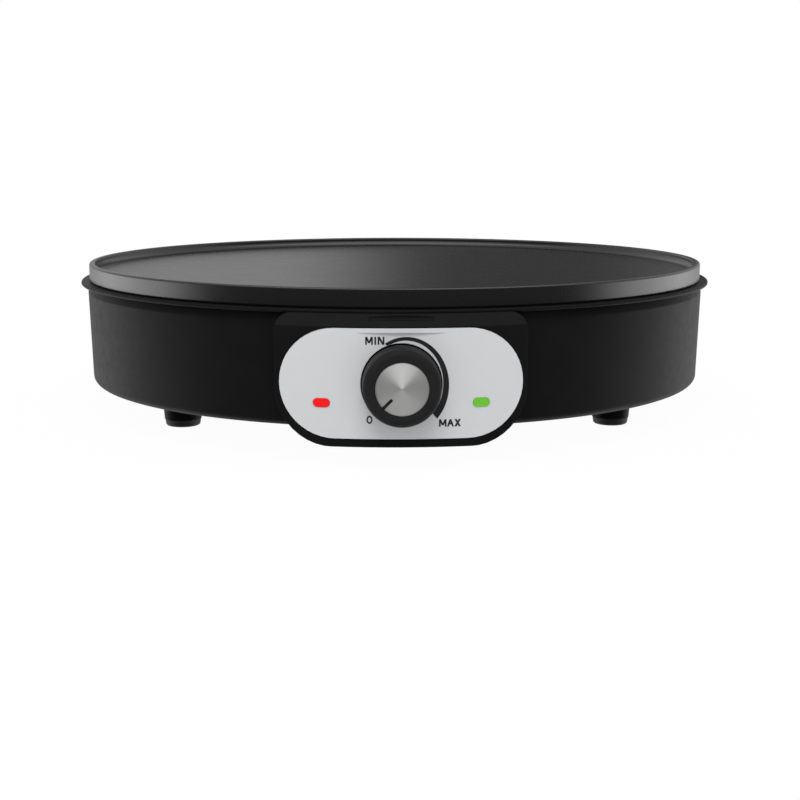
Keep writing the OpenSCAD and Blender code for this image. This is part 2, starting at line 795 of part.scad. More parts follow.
module foot_pads() color("#202020") {
    pad_r = foot_pad_d / 2;
    bevel = 1.2;
    at_feet() {
        revolve(concat(
            [[0, 0], [pad_r - bevel - 0.4, 0]],
            arc([pad_r - bevel - 0.3, bevel], bevel, -80, 0, 4),
            [[pad_r, pad_t], [stem_d / 2, pad_t], [stem_d / 2, pad_t + stem_l - 1],
             [stem_d / 2 - 1, pad_t + stem_l], [0, pad_t + stem_l]]));
    }
}

/* ---- fascia and indicator lamps ---- */

// a place on the front wall's inner face, with +Z pointing outwards along the radius
module at_peg(side, up) {
    rotate([0, 0, side * asin(peg_x / fascia_back_r)])
        translate([0, -front_wall_r - wall_t / 2, knob_z + up * peg_z])
            rotate([90, 0, 0]) children();
}

module facet() {
    lean = atan(facet_depth / (facet_top_z - fascia_bottom_z));
    translate([0, -face_r + facet_depth, facet_top_z]) rotate([-lean, 0, 0])
        translate([-fascia_h, -5, -2 * fascia_h]) cube([2 * fascia_h, 5, 2 * fascia_h]);
}

module control_fascia() color("#c5c8cc") {
    difference() {
        intersection() {
            revolve_front([[fascia_back_r, fascia_bottom_z - past], [face_r, fascia_bottom_z - past],
                           [face_r, fascia_top_z + past], [fascia_back_r, fascia_top_z + past]]);
            on_knob_axis(housing_back_r) linear_extrude(60) polygon(pill(fascia_w, fascia_h, 24));
        }
        facet();
        on_knob_axis(fascia_back_r - 2 * past)
            cylinder(h = fascia_t + 4 * past, r = knob_d / 2 + opening_gap);
        for (side = [-1, 1]) translate([side * lens_x, 0, -lens_drop]) on_knob_axis(housing_back_r)
            linear_extrude(60) polygon(pill(lens_w + 0.1, lens_h + 0.1, 8));
    }
    for (side = [-1, 1], up = [-1, 1]) at_peg(side, up) translate([0, 0, -wall_t / 2 - 2.4])
        cylinder(h = wall_t + 2.4 + overlap, d = peg_d);
}

module fascia_push_nuts() color("silver") {
    for (side = [-1, 1], up = [-1, 1]) at_peg(side, up) translate([0, 0, -wall_t / 2 - 0.7])
        difference() {
            cylinder(h = 0.6, r = peg_d / 2 + 1.9);
            translate([0, 0, -past]) cylinder(h = 0.6 + 2 * past, r = peg_d / 2 + 0.03);
        }
}

module lens(side) {
    intersection() {
        translate([side * lens_x, 0, -lens_drop]) on_knob_axis(housing_back_r)
            linear_extrude(60) polygon(pill(lens_w, lens_h, 8));
        revolve_front([[front_wall_r, lens_z - lens_h], [face_r + lens_proud, lens_z - lens_h],
                       [face_r + lens_proud, lens_z + lens_h], [front_wall_r, lens_z + lens_h]]);
    }
}

module red_lens() color("red") lens(-1);

module green_lens() color("limegreen") lens(1);

module at_lamps(reach) {
    for (side = [-1, 1]) translate([side * lens_x, 0, -lens_drop]) on_knob_axis(reach) children();
}

lamp_front = sqrt(pow(front_wall_r, 2) - pow(lens_x + lens_w / 2, 2)) - small_gap;

module lamp_holders() color("ivory") {
    holder = neon_d + 3;
    intersection() {
        difference() {
            at_lamps(lamp_front - neon_l - 1) linear_extrude(neon_l + 8)
                square([holder + 2, holder], center = true);
            at_lamps(lamp_front - neon_l) linear_extrude(neon_l + 9)
                circle(neon_d / 2 + 0.1);
        }
        revolve_front([[housing_back_r, lens_z - holder], [front_wall_r - tube_play, lens_z - holder],
                       [front_wall_r - tube_play, lens_z + holder],
                       [housing_back_r, lens_z + holder]]);
    }
}

module neon_lamps() color("orange") {
    at_lamps(lamp_front - neon_l) cylinder(h = neon_l - 1.5, r = neon_d / 2);
    at_lamps(lamp_front - 1.5) cylinder(h = 1.5, r1 = neon_d / 2, r2 = neon_d / 4);
}

/* ---- knob ---- */

// space for the pointer's rib, from its inner end to past the cap's edge
module pointer_bar(reach, h, w) {
    on_knob_axis(reach) rotate([0, 0, pointer_rest])
        translate([pointer_start, -w / 2, 0]) cube([cap_d / 2 - pointer_start, w, h]);
}

module knob_grip() color("#1c1c1e") {
    knob_r = knob_d / 2;
    depth = knob_front - knob_back;
    seat = cap_back - knob_back;
    front_r = knob_r - 0.4;
    difference() {
        union() {
            on_knob_axis(knob_back) revolve(concat(
                [[knob_r - knob_wall, 0], [knob_r, 0]],
                arc([front_r - knob_round, depth - knob_round], knob_round, 0, 90, 4),
                [[cap_d / 2 + 0.3, depth - 0.2], [cap_d / 2 + 0.05, depth - 0.5],
                 [cap_d / 2 + 0.05, seat], [0, seat], [0, seat - knob_skin],
                 [front_r - knob_wall, seat - knob_skin]]));
            on_knob_axis(knob_back + small_gap)
                cylinder(h = seat - knob_skin - small_gap + overlap, r = hub_r);
            for (turn = [0:60:300]) on_knob_axis(knob_back + 3) rotate([0, 0, turn + 30])
                translate([hub_r - overlap, -0.6, 0])
                    cube([knob_r - knob_wall - hub_r + overlap, 1.2, seat - knob_skin - 3 + overlap]);
            pointer_bar(cap_back - overlap, cap_t + overlap + 0.15, pointer_w);
        }
        spindle_hole();
    }
}

// D-shaped hole with room for the leaf spring behind the flat
module spindle_hole() {
    spring_room = 0.6;
    on_knob_axis(knob_back - past) intersection() {
        cylinder(h = spindle_front - knob_back + past + 0.1, r = spindle_r + tube_play);
        rotate([0, 0, pointer_rest]) translate([-spindle_d, -spindle_d, 0])
            cube([spindle_d + spindle_flat + spring_room, 2 * spindle_d, 2 * knob_h]);
    }
}

module knob_cap() color("#b9b9b6") {
    difference() {
        on_knob_axis(cap_back) revolve([[0, 0], [cap_d / 2, 0], [cap_d / 2, cap_t - 0.25],
                                        [cap_d / 2 - 0.25, cap_t], [0, cap_t]]);
        on_knob_axis(cap_back - past) rotate([0, 0, pointer_rest])
            translate([pointer_start - 0.05, -pointer_w / 2 - 0.05, 0])
                cube([cap_d / 2, pointer_w + 0.1, cap_t + 2 * past]);
    }
}

module knob_spring() color("lightgray") {
    on_knob_axis(knob_back + 1.5) rotate([0, 0, pointer_rest])
        translate([spindle_flat + 0.05, -1.8, 0]) cube([0.45, 3.6, spindle_front - knob_back - 2]);
}

module thermostat_spindle() color("tan") {
    difference() {
        union() {
            on_knob_axis(spindle_back) cylinder(h = spindle_front - spindle_back, r = spindle_r);
            on_knob_axis(stop_back) {
                cylinder(h = stop_t, r = spindle_r + 1.4);
                rotate([0, 0, pointer_rest - lug_half]) rotate_extrude(angle = 2 * lug_half)
                    translate([spindle_r - overlap, 0])
                        square([lug_r - spindle_r + overlap, stop_t]);
            }
        }
        on_knob_axis(spindle_back - past)
            cylinder(h = pin_hole_depth + past, r = pin_r + running_gap);
        on_knob_axis(knob_back) rotate([0, 0, pointer_rest])
            translate([spindle_flat, -spindle_d, 0]) cube([spindle_d, 2 * spindle_d, knob_h]);
    }
}

module adjuster_pin() color("white") {
    length = pin_front - pin_back;
    on_knob_axis(pin_back) {
        cylinder(h = 0.6, r1 = pin_r - 0.6, r2 = pin_r);
        translate([0, 0, 0.6]) cylinder(h = length - 0.6, r = pin_r);
    }
}

/* ---- thermostat ---- */

module thermostat_bush() color("goldenrod") {
    difference() {
        union() {
            on_knob_axis(bush_back) cylinder(h = bush_flange_t, r = bush_flange_r);
            on_knob_axis(bush_back) cylinder(h = bush_front - bush_back, d = bush_d);
        }
        on_knob_axis(bush_back - past)
            cylinder(h = bush_front - bush_back + 2 * past, r = spindle_r + running_gap);
    }
}

module thermostat_nut() color("silver") {
    on_knob_axis(bracket_front) difference() {
        cylinder(h = 2.6, r = bush_d / 2 + 3, $fn = 6);
        translate([0, 0, -past]) cylinder(h = 2.6 + 2 * past, r = bush_d / 2 + tube_play);
    }
}

module thermostat_frame() color("gainsboro") {
    half_h = 11;
    left = bush_flange_r + 8;
    right = stack_x + washer_d / 2 + 1;
    difference() {
        on_knob_axis(frame_back) translate([-left, -half_h, 0]) cube([left + right, 2 * half_h, frame_t]);
        on_knob_axis(frame_back - past)
            cylinder(h = frame_t + 2 * past, r = bush_d / 2 + tube_play);
        translate([stack_x, 0, 0]) on_knob_axis(frame_back - past)
            cylinder(h = frame_t + 2 * past, r = rivet_r + 0.1);
    }
    // stop that the spindle's lug meets at either end of its turn
    on_knob_axis(stop_back) rotate([0, 0, tab_middle - tab_half])
        rotate_extrude(angle = 2 * tab_half) translate([stop_tab_in, 0])
            square([stop_tab_out - stop_tab_in, frame_back - stop_back + overlap]);
}

module at_bracket_screws(z) {
    for (x = [-bracket_screw_x, bracket_screw_x]) translate([x, -bracket_screw_y, z]) children();
}

module thermostat_bracket() color("lightgray") {
    foot_l = bracket_front - bracket_screw_y + 6;
    gusset = 7;
    difference() {
        union() {
            translate([-bracket_w / 2, -bracket_front, bracket_top_z - bracket_t])
                cube([bracket_w, foot_l, bracket_t]);
            translate([-bracket_w / 2, -bracket_front, bracket_low_z])
                cube([bracket_w, bracket_t, bracket_top_z - bracket_low_z]);
            for (x = [-bracket_w / 2, bracket_w / 2 - bracket_t])
                translate([x, -bracket_front, bracket_top_z - gusset])
                    cube([bracket_t, gusset, gusset]);
        }
        on_knob_axis(frame_front - past)
            cylinder(h = bracket_t + 2 * past, r = bush_d / 2 + tube_play);
        at_bracket_screws(bracket_top_z - bracket_t - past)
            cylinder(h = bracket_t + 2 * past, r = bracket_screw_r + 0.25);
    }
}

module bracket_screws() color("silver") {
    head_h = 2;
    at_bracket_screws(bracket_top_z - bracket_t) {
        cylinder(h = bracket_t + bracket_screw_l, r = bracket_screw_r);
        translate([0, 0, -head_h]) cylinder(h = head_h, r1 = bracket_screw_r + 0.85,
                                            r2 = bracket_screw_r + 1.45);
    }
}

module stack_washers() color("whitesmoke") {
    for (layer = [[blade_front, washer_long], [second_washer, washer_short],
                  [third_washer, washer_short]])
        translate([stack_x, 0, 0]) on_knob_axis(layer[0]) difference() {
            cylinder(h = layer[1], d = washer_d);
            translate([0, 0, -past]) cylinder(h = layer[1] + 2 * past, r = rivet_r + 0.1);
        }
}

module stack_rivet() color("silver") {
    translate([stack_x, 0, 0]) {
        on_knob_axis(bimetal_back) cylinder(h = frame_front - bimetal_back, r = rivet_r);
        on_knob_axis(bimetal_back - 1) cylinder(h = 1, r = rivet_r + 1.4);
    }
}

// a strip from its tip to its tail, with the stack's rivet through it
module strip(back, tip, tail, w, t) {
    difference() {
        on_knob_axis(back) translate([tip, -w / 2, 0]) cube([stack_x + tail - tip, w, t]);
        translate([stack_x, 0, 0]) on_knob_axis(back - past)
            cylinder(h = t + 2 * past, r = rivet_r + 0.1);
    }
}

module contact_blades() color("peru") {
    button_r = 1.6;
    button_h = (washer_short - 0.4) / 2;
    strip(first_blade, tip_x, blade_tail, blade_w, blade_t);
    strip(second_blade, tip_x, blade_tail, blade_w, blade_t);
    translate([contact_x, 0, 0]) {
        on_knob_axis(first_blade - button_h) cylinder(h = button_h, r = button_r);
        on_knob_axis(second_washer) cylinder(h = button_h, r = button_r);
    }
}

module bimetal_strip() color("rosybrown") {
    strip(bimetal_back, tip_x - 1, washer_d / 2, blade_w + 1, bimetal_t);
    // striker that opens the contacts when the strip bends
    translate([contact_x, 0, 0]) on_knob_axis(third_washer - overlap / 2)
        cylinder(h = washer_short - small_gap + overlap / 2, r = 1.2);
}

/* ---- parts under the plate ---- */

// screw places on the plate's underside: the fuse's clip and the earth tag
module at_tab_screws() {
    translate([0, clip_screw_y, plate_under_z]) children();
    translate([tag_at[0], tag_at[1], plate_under_z]) children();
}

module tab_screws() color("silver") {
    head_h = 1.6;
    at_tab_screws() {
        translate([0, 0, -clip_t]) cylinder(h = clip_t + tab_screw_l, r = tab_screw_r);
        translate([0, 0, -clip_t - head_h]) cylinder(h = head_h, r = tab_screw_r + 1.25);
    }
}

module thermal_fuse() color("khaki") {
    translate([-fuse_l / 2, fuse_y, fuse_z]) rotate([0, 90, 0]) cylinder(h = fuse_l, r = fuse_r);
    for (side = [-1, 1]) translate([side * (fuse_l / 2 + 3), fuse_y, fuse_z])
        rotate([0, 90, 0]) cylinder(h = 6, r = 0.5, center = true);
}

module fuse_clip() color("silver") {
    inner = fuse_r + tube_play;
    width = 6;
    tab_l = 12;
    translate([-width / 2, fuse_y, fuse_z]) rotate([0, 90, 0]) difference() {
        cylinder(h = width, r = inner + clip_t);
        translate([0, 0, -past]) cylinder(h = width + 2 * past, r = inner);
        translate([-inner - 2 * clip_t, -inner - 2 * clip_t, -past])
            cube([inner + 2 * clip_t, 2 * inner + 4 * clip_t, width + 2 * past]);
    }
    for (y = [-inner - clip_t, inner])
        translate([-width / 2, fuse_y + y, fuse_z]) cube([width, clip_t, plate_under_z - fuse_z]);
    difference() {
        translate([-width / 2, fuse_y - tab_l, plate_under_z - clip_t])
            cube([width, tab_l - inner - clip_t / 2, clip_t]);
        translate([0, clip_screw_y, plate_under_z - clip_t - past])
            cylinder(h = clip_t + 2 * past, r = tab_screw_r + 0.15);
    }
}

module earth_tag() color("silver") {
    translate([tag_at[0], tag_at[1], plate_under_z - clip_t]) difference() {
        union() {
            cylinder(h = clip_t, r = 4);
            translate([0, -2, 0]) cube([12, 4, clip_t]);
        }
        translate([0, 0, -past]) cylinder(h = clip_t + 2 * past, r = tab_screw_r + 0.15);
    }
}

/* ---- supply ---- */

module terminal_block() color("white") {
    difference() {
        translate([-block_l / 2, block_y - block_w / 2, floor_top_z + tube_play])
            cube([block_l, block_w, block_h]);
        for (i = [-1:1]) translate([i * block_pitch, block_y, floor_top_z]) {
            translate([0, 0, block_h / 2]) rotate([90, 0, 0])
                cylinder(h = block_w + 2 * past, r = 2.4, center = true);
            for (y = [-block_w / 4, block_w / 4]) translate([0, y, block_h / 2])
                cylinder(h = block_h, r = 2.2);
        }
        for (i = [-0.5, 0.5]) translate([i * block_pitch, block_y, floor_top_z + block_h])
            cube([1.6, block_w + 2 * past, 5], center = true);
    }
}

module terminal_screws() color("goldenrod") {
    for (i = [-1:1], y = [-block_w / 4, block_w / 4])
        translate([i * block_pitch, block_y + y, floor_top_z + block_h / 2 + 3])
            cylinder(h = block_h / 2 - 4.5, r = 2.1);
}

module on_gland_axis(y) {
    translate([0, y, gland_z]) rotate([-90, 0, 0]) children();
}

module cord_gland() color("#222222") {
    inner_l = gland_nut_t + 3;
    total = gland_flange_t + gland_pad_t + inner_l;
    difference() {
        union() {
            on_gland_axis(gland_seat_y) {
                cylinder(h = gland_flange_t - 0.6, r = gland_flange_r);
                translate([0, 0, gland_flange_t - 0.6])
                    cylinder(h = 0.6, r1 = gland_flange_r, r2 = gland_flange_r - 0.6);
            }
            on_gland_axis(gland_back_y - inner_l)
                cylinder(h = gland_pad_t + inner_l + overlap, r = gland_barrel_r);
        }
        on_gland_axis(gland_back_y - inner_l - past) cylinder(h = total + 2 * past, r = gland_hole_r);
    }
}

module gland_nut() color("#222222") {
    on_gland_axis(gland_back_y - gland_nut_t) difference() {
        cylinder(h = gland_nut_t, r = gland_barrel_r + 3, $fn = 6);
        translate([0, 0, -past]) cylinder(h = gland_nut_t + 2 * past, r = gland_barrel_r + tube_play);
    }
}

/* ---- wiring ---- */

// Catmull-Rom curve through the points, with its own end points repeated
function curve_at(a, b, c, d, t) =
    0.5 * (2 * b + (c - a) * t + (2 * a - 5 * b + 4 * c - d) * t * t
           + (3 * b - a - 3 * c + d) * t * t * t);

function curve(points, steps = 5) = let (last = len(points) - 1) concat(
    [for (i = [0:last - 1], k = [0:steps - 1])
        curve_at(points[max(i - 1, 0)], points[i], points[i + 1],
                 points[min(i + 2, last)], k / steps)],
    [points[last]]);

function unit(v) = v / norm(v);

// a tube swept along a path; no stretch of the path runs along the lean vector
module tube(path, r, sides = 8) {
    lean = unit([0.35, 0.1, 0.93]);
    last = len(path) - 1;
    points = [for (i = [0:last])
        let (along = unit(path[min(i + 1, last)] - path[max(i - 1, 0)]),
             across = unit(cross(along, lean)), up = cross(across, along))
        for (s = [0:sides - 1]) let (a = 360 * s / sides)
            path[i] + r * (cos(a) * across + sin(a) * up)];
    sides_faces = [for (i = [0:last - 1], s = [0:sides - 1]) let (t = (s + 1) % sides)
        [i * sides + t, (i + 1) * sides + t, (i + 1) * sides + s, i * sides + s]];
    polyhedron(points, concat(sides_faces, [[for (s = [sides - 1:-1:0]) s]],
        [[for (s = [0:sides - 1]) last * sides + s]]));
}

module wiring() color("firebrick") {
    wire_r = wire_d / 2;
    low = floor_top_z + floor_rib_h + 3;
    lane_x = 0.48 * element_r;
    lane_y = 0.65 * element_r;
    front_y = 0.74 * plate_r;
    // supply to the thermostat's first blade
    tube(curve([[block_pitch, block_in_y + 3, block_wire_z],
                [block_pitch, block_in_y - 2, block_wire_z],
                [block_pitch + 11, block_in_y - 10, low - 1],
                [lane_x - 6, lane_y, low], [lane_x, 0, low], [lane_x, -lane_y, low],
                [tail_x + 8, -front_y, knob_z - 6],
                [tail_x + 4, 1 - first_blade, knob_z - 3],
                [tail_x + 2 * small_gap, -first_blade - blade_t / 2, knob_z - 1.4]]), wire_r);
    // thermostat's second blade to the element's right end
    tube(curve([[tail_x + 2 * small_gap, -second_blade - blade_t / 2, knob_z + 1.4],
                [tail_x + 4, 2 - second_blade, knob_z + 3.5], [tail_x + 5, 2 - front_y, knob_z + 5],
                [lane_x - 10, -lane_y, low + 6], [lane_x - 10, 0, low + 6],
                [leg_x + 12, leg_y - 29, low + 6],
                [leg_x + 4, leg_y - 14, tab_z - 4], [leg_x, leg_y - 2, tab_z - 6],
                [leg_x, leg_y, tab_z - small_gap]]), wire_r);
    // supply to the element's left end
    tube(curve([[-block_pitch, block_in_y + 3, block_wire_z],
                [-block_pitch, block_in_y - 2, block_wire_z],
                [-block_pitch - 4, block_in_y - 9, low],
                [-leg_x, leg_y + 1, tab_z - 6], [-leg_x, leg_y, tab_z - small_gap]]), wire_r);
}

placed() cooking_plate();
placed() heating_element();
placed() element_seals();
placed() element_tabs();
placed() heat_shield();
placed() collar_ring();
placed() base_housing();
placed() base_screws();
placed() foot_pads();
placed() control_fascia();
placed() fascia_push_nuts();
placed() red_lens();
placed() green_lens();
placed() lamp_holders();
placed() neon_lamps();
placed() knob_grip();
placed() knob_cap();
placed() knob_spring();
placed() thermostat_spindle();
placed() adjuster_pin();
placed() thermostat_bush();
placed() thermostat_nut();
placed() thermostat_frame();
placed() thermostat_bracket();
placed() bracket_screws();
placed() stack_washers();
placed() stack_rivet();
placed() contact_blades();
placed() bimetal_strip();
placed() thermal_fuse();
placed() fuse_clip();
placed() earth_tag();
placed() tab_screws();
placed() terminal_block();
placed() terminal_screws();
placed() cord_gland();
placed() gland_nut();
placed() wiring();
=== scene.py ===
"""Looks of the electric crepe maker: materials, the dial's print, lamps, floor and camera."""
import json
import math

import bpy
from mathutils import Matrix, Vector


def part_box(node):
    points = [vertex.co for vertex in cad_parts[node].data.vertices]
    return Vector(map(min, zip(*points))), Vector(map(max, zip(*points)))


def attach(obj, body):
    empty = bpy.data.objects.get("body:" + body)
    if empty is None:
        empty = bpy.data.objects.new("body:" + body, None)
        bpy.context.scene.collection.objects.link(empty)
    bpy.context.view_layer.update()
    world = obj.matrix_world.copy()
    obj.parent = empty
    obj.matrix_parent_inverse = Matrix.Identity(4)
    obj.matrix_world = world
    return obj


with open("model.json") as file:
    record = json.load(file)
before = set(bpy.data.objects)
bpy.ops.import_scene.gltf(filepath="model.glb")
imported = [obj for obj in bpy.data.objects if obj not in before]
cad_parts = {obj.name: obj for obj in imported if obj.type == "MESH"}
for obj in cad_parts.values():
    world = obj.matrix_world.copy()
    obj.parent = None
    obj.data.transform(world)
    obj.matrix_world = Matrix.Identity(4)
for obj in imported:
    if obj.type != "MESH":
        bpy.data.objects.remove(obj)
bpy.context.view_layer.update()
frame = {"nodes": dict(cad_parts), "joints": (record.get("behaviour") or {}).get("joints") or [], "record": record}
MM = 0.001
KNOB = Vector(next(j for j in frame["joints"] if j["name"] == "knob_turn")["pos_m"])


def add_node(tree, kind, inputs=None, **settings):
    """Adds a node with its settings. Each input is set to a value or linked to another's socket."""
    made = tree.nodes.new(kind)
    for key, value in settings.items():
        setattr(made, key, value)
    for key, value in (inputs or {}).items():
        if isinstance(value, bpy.types.NodeSocket):
            tree.links.new(value, made.inputs[key])
        else:
            made.inputs[key].default_value = value
    return made


# ---------------------------------------------------------------- materials

CAP_SLOPE = 0.45   # the cap is shaded like a cone that falls this much per unit of radius


class Look:
    """A Principled material with the few node shapes that this part's looks are built from."""

    def __init__(self, name, color, rough, **sockets):
        self.material = bpy.data.materials.new(name)
        self.material.use_nodes = True
        self.tree = self.material.node_tree
        self.shader = self.tree.nodes["Principled BSDF"]
        self.material.diffuse_color = (*color, 1)
        self.shader.inputs["Base Color"].default_value = (*color, 1)
        self.shader.inputs["Roughness"].default_value = rough
        for key, value in sockets.items():
            self.shader.inputs[key.replace("_", " ")].default_value = value
        self.color, self.rough, self.normal = color, rough, None

    def node(self, kind, inputs=None, **settings):
        return add_node(self.tree, kind, inputs, **settings)

    def drive(self, value, key):
        """Links a socket to an input of the shader."""
        self.tree.links.new(value, self.shader.inputs[key])

    def place(self):
        return self.node("ShaderNodeTexCoord").outputs["Object"]

    def noise(self, size, detail=2.0, at=None):
        """Noise whose features are about size metres across, from 0 to 1."""
        return self.node("ShaderNodeTexNoise", {"Vector": at or self.place(), "Scale": 1 / size,
                                                "Detail": detail}).outputs["Fac"]

    def spread(self, value, low, high, start=0.3, end=0.7):
        """Maps start to end, the range in which most of a noise lies, onto low to high."""
        return self.node("ShaderNodeMapRange", {"Value": value, "From Min": start, "From Max": end,
                                                "To Min": low, "To Max": high}).outputs["Result"]

    def math(self, operation, a, b=0.0):
        return self.node("ShaderNodeMath", {0: a, 1: b}, operation=operation).outputs[0]

    def vary_color(self, value, amount):
        """Makes the colour darker and lighter by amount along value."""
        dark = [c * (1 - amount) for c in self.color]
        light = [min(1, c * (1 + amount)) for c in self.color]
        mix = self.node("ShaderNodeMix", {"Factor": value, "A": (*dark, 1), "B": (*light, 1)},
                        data_type="RGBA")
        self.drive(mix.outputs["Result"], "Base Color")

    def vary_rough(self, value, amount):
        """Makes the roughness lower and higher by amount along value."""
        self.drive(self.spread(value, self.rough - amount, self.rough + amount), "Roughness")

    def soften(self, radius):
        """Rounds the shading of sharp edges."""
        self.normal = self.node("ShaderNodeBevel", {"Radius": radius}, samples=4).outputs["Normal"]
        self.drive(self.normal, "Normal")

    def bump(self, height, depth, strength=1.0):
        """Tilts the shading as relief would, on top of what has softened or bumped it before."""
        inputs = {"Height": height, "Distance": depth, "Strength": strength}
        if self.normal:
            inputs["Normal"] = self.normal
        self.normal = self.node("ShaderNodeBump", inputs).outputs["Normal"]
        self.drive(self.normal, "Normal")


def coated_plate():
    look = Look("coated_plate", (0.0034, 0.0034, 0.0036), 0.28, Specular_IOR_Level=0.9)
    look.soften(0.3 * MM)
    speck = look.noise(0.5 * MM, 3)
    look.vary_color(look.spread(speck, 0, 1), 0.12)
    look.vary_rough(look.noise(9 * MM, 3), 0.012)
    look.bump(speck, 0.002 * MM, 0.3)
    return look.material


def black_plastic():
    look = Look("black_plastic", (0.0072, 0.0072, 0.0074), 0.4, Specular_IOR_Level=0.05)
    look.soften(0.6 * MM)
    look.vary_color(look.spread(look.noise(14 * MM, 4), 0, 1), 0.08)
    look.vary_rough(look.noise(4 * MM, 3), 0.03)
    look.bump(look.noise(0.35 * MM, 2), 0.012 * MM, 0.5)
    return look.material


def silver_fascia():
    look = Look("silver_fascia", (0.635, 0.64, 0.65), 0.42, Metallic=0.12)
    look.soften(0.25 * MM)
    flake = look.noise(0.12 * MM, 2)
    look.vary_color(look.spread(flake, 0, 1), 0.03)
    look.vary_rough(look.noise(6 * MM, 2), 0.03)
    look.bump(flake, 0.004 * MM, 0.5)
    return look.material


def knob_plastic():
    look = Look("knob_plastic", (0.0145, 0.0145, 0.015), 0.5, Specular_IOR_Level=0.06)
    look.soften(0.3 * MM)
    look.vary_color(look.spread(look.noise(5 * MM, 3), 0, 1), 0.08)
    look.vary_rough(look.noise(3 * MM, 3), 0.04)
    look.bump(look.noise(0.25 * MM, 2), 0.008 * MM, 0.5)
    return look.material


def brushed_cap():
    """Turned aluminium: fine rings about the knob's axis, which spread a highlight into wedges."""
    look = Look("brushed_cap", (0.7, 0.695, 0.68), 0.52, Metallic=0.82, Anisotropic=0.8,
                Anisotropic_Rotation=0.25)
    split = look.node("ShaderNodeSeparateXYZ", {"Vector": look.place()})
    across = look.math("SUBTRACT", split.outputs["X"], KNOB.x)
    up = look.math("SUBTRACT", split.outputs["Z"], KNOB.z)
    radius = look.math("SQRT", look.math("ADD", look.math("MULTIPLY", across, across),
                                         look.math("MULTIPLY", up, up)))
    rings = look.node("ShaderNodeTexNoise", {"W": radius, "Scale": 1 / (0.09 * MM), "Detail": 3},
                      noise_dimensions="1D").outputs["Fac"]
    look.vary_color(look.spread(rings, 0, 1), 0.07)
    look.vary_rough(rings, 0.05)
    look.bump(look.math("MULTIPLY", radius, -CAP_SLOPE), 1.0)
    look.bump(rings, 0.004 * MM, 0.6)
    tangent = look.node("ShaderNodeTangent", direction_type="RADIAL", axis="Y")
    look.drive(tangent.outputs["Tangent"], "Tangent")
    return look.material


def lens(name, color, glow):
    """Coloured plastic that the lamp behind it makes glow faintly."""
    look = Look(name, color, 0.3, Specular_IOR_Level=0.2, Emission_Strength=glow)
    look.shader.inputs["Emission Color"].default_value = (*color, 1)
    look.soften(0.3 * MM)
    look.vary_color(look.spread(look.noise(1.2 * MM, 2), 0, 1), 0.05)
    look.vary_rough(look.noise(0.8 * MM, 2), 0.04)
    return look.material


def rubber():
    look = Look("rubber", (0.016, 0.016, 0.016), 0.62, Specular_IOR_Level=0.35)
    look.soften(0.3 * MM)
    look.vary_color(look.spread(look.noise(2 * MM, 4), 0, 1), 0.15)
    look.bump(look.noise(0.3 * MM, 3), 0.02 * MM, 0.5)
    return look.material


def metal(name, color, rough, grain, amount=0.08):
    """Sheet or turned metal with a fine grain and slow stains."""
    look = Look(name, color, rough, Metallic=1.0)
    look.soften(0.15 * MM)
    stretched = look.node("ShaderNodeMapping", {"Vector": look.place(), "Scale": (1, 0.12, 1)})
    look.vary_color(look.spread(look.noise(7 * MM, 4), 0, 1), amount)
    look.vary_rough(look.noise(grain, 3, stretched.outputs["Vector"]), 0.07)
    look.bump(look.noise(grain, 2, stretched.outputs["Vector"]), 0.006 * MM, 0.5)
    return look.material


def ceramic():
    look = Look("ceramic", (0.78, 0.75, 0.68), 0.55)
    look.soften(0.15 * MM)
    look.vary_color(look.spread(look.noise(0.6 * MM, 4), 0, 1), 0.06)
    look.bump(look.noise(0.2 * MM, 3), 0.01 * MM, 0.5)
    return look.material


def white_nylon():
    look = Look("white_nylon", (0.74, 0.72, 0.66), 0.45)
    look.vary_color(look.spread(look.noise(2 * MM, 3), 0, 1), 0.04)
    look.bump(look.noise(0.3 * MM, 2), 0.006 * MM, 0.5)
    return look.material


def lamp_glass():
    look = Look("lamp_glass", (0.95, 0.86, 0.78), 0.05, Transmission_Weight=0.9)
    look.vary_rough(look.noise(1 * MM, 2), 0.02)
    return look.material


def wire_sleeve():
    look = Look("wire_sleeve", (0.42, 0.05, 0.035), 0.5)
    look.vary_color(look.spread(look.noise(1.5 * MM, 3), 0, 1), 0.12)
    look.bump(look.noise(0.25 * MM, 2), 0.01 * MM, 0.5)
    return look.material


def dial_ink():
    look = Look("dial_ink", (0.011, 0.011, 0.013), 0.5)
    look.vary_color(look.spread(look.noise(0.3 * MM, 2), 0, 1), 0.15)
    look.bump(look.noise(0.15 * MM, 2), 0.003 * MM, 0.5)
    return look.material


MATERIALS = {
    "coated_plate": coated_plate(),
    "black_plastic": black_plastic(),
    "silver_fascia": silver_fascia(),
    "knob_plastic": knob_plastic(),
    "brushed_cap": brushed_cap(),
    "red_lens": lens("red_lens", (0.78, 0.006, 0.008), 0.1),
    "green_lens": lens("green_lens", (0.13, 0.46, 0.032), 0.08),
    "rubber": rubber(),
    "steel": metal("steel", (0.52, 0.52, 0.51), 0.34, 0.4 * MM),
    "element_sheath": metal("element_sheath", (0.11, 0.1, 0.095), 0.5, 0.5 * MM, 0.25),
    "aluminised_sheet": metal("aluminised_sheet", (0.62, 0.62, 0.61), 0.42, 1.2 * MM, 0.12),
    "ceramic": ceramic(),
    "brass": metal("brass", (0.66, 0.48, 0.2), 0.3, 0.3 * MM),
    "white_nylon": white_nylon(),
    "lamp_glass": lamp_glass(),
    "wire_sleeve": wire_sleeve(),
}

for part in frame["record"]["subparts"]:
    node = frame["nodes"][part["node"]]
    node.data.materials.clear()
    node.data.materials.append(MATERIALS[part["material_slot"]])
    for polygon in node.data.polygons:
        polygon.material_index = 0


# ---------------------------------------------------------------- the dial's print

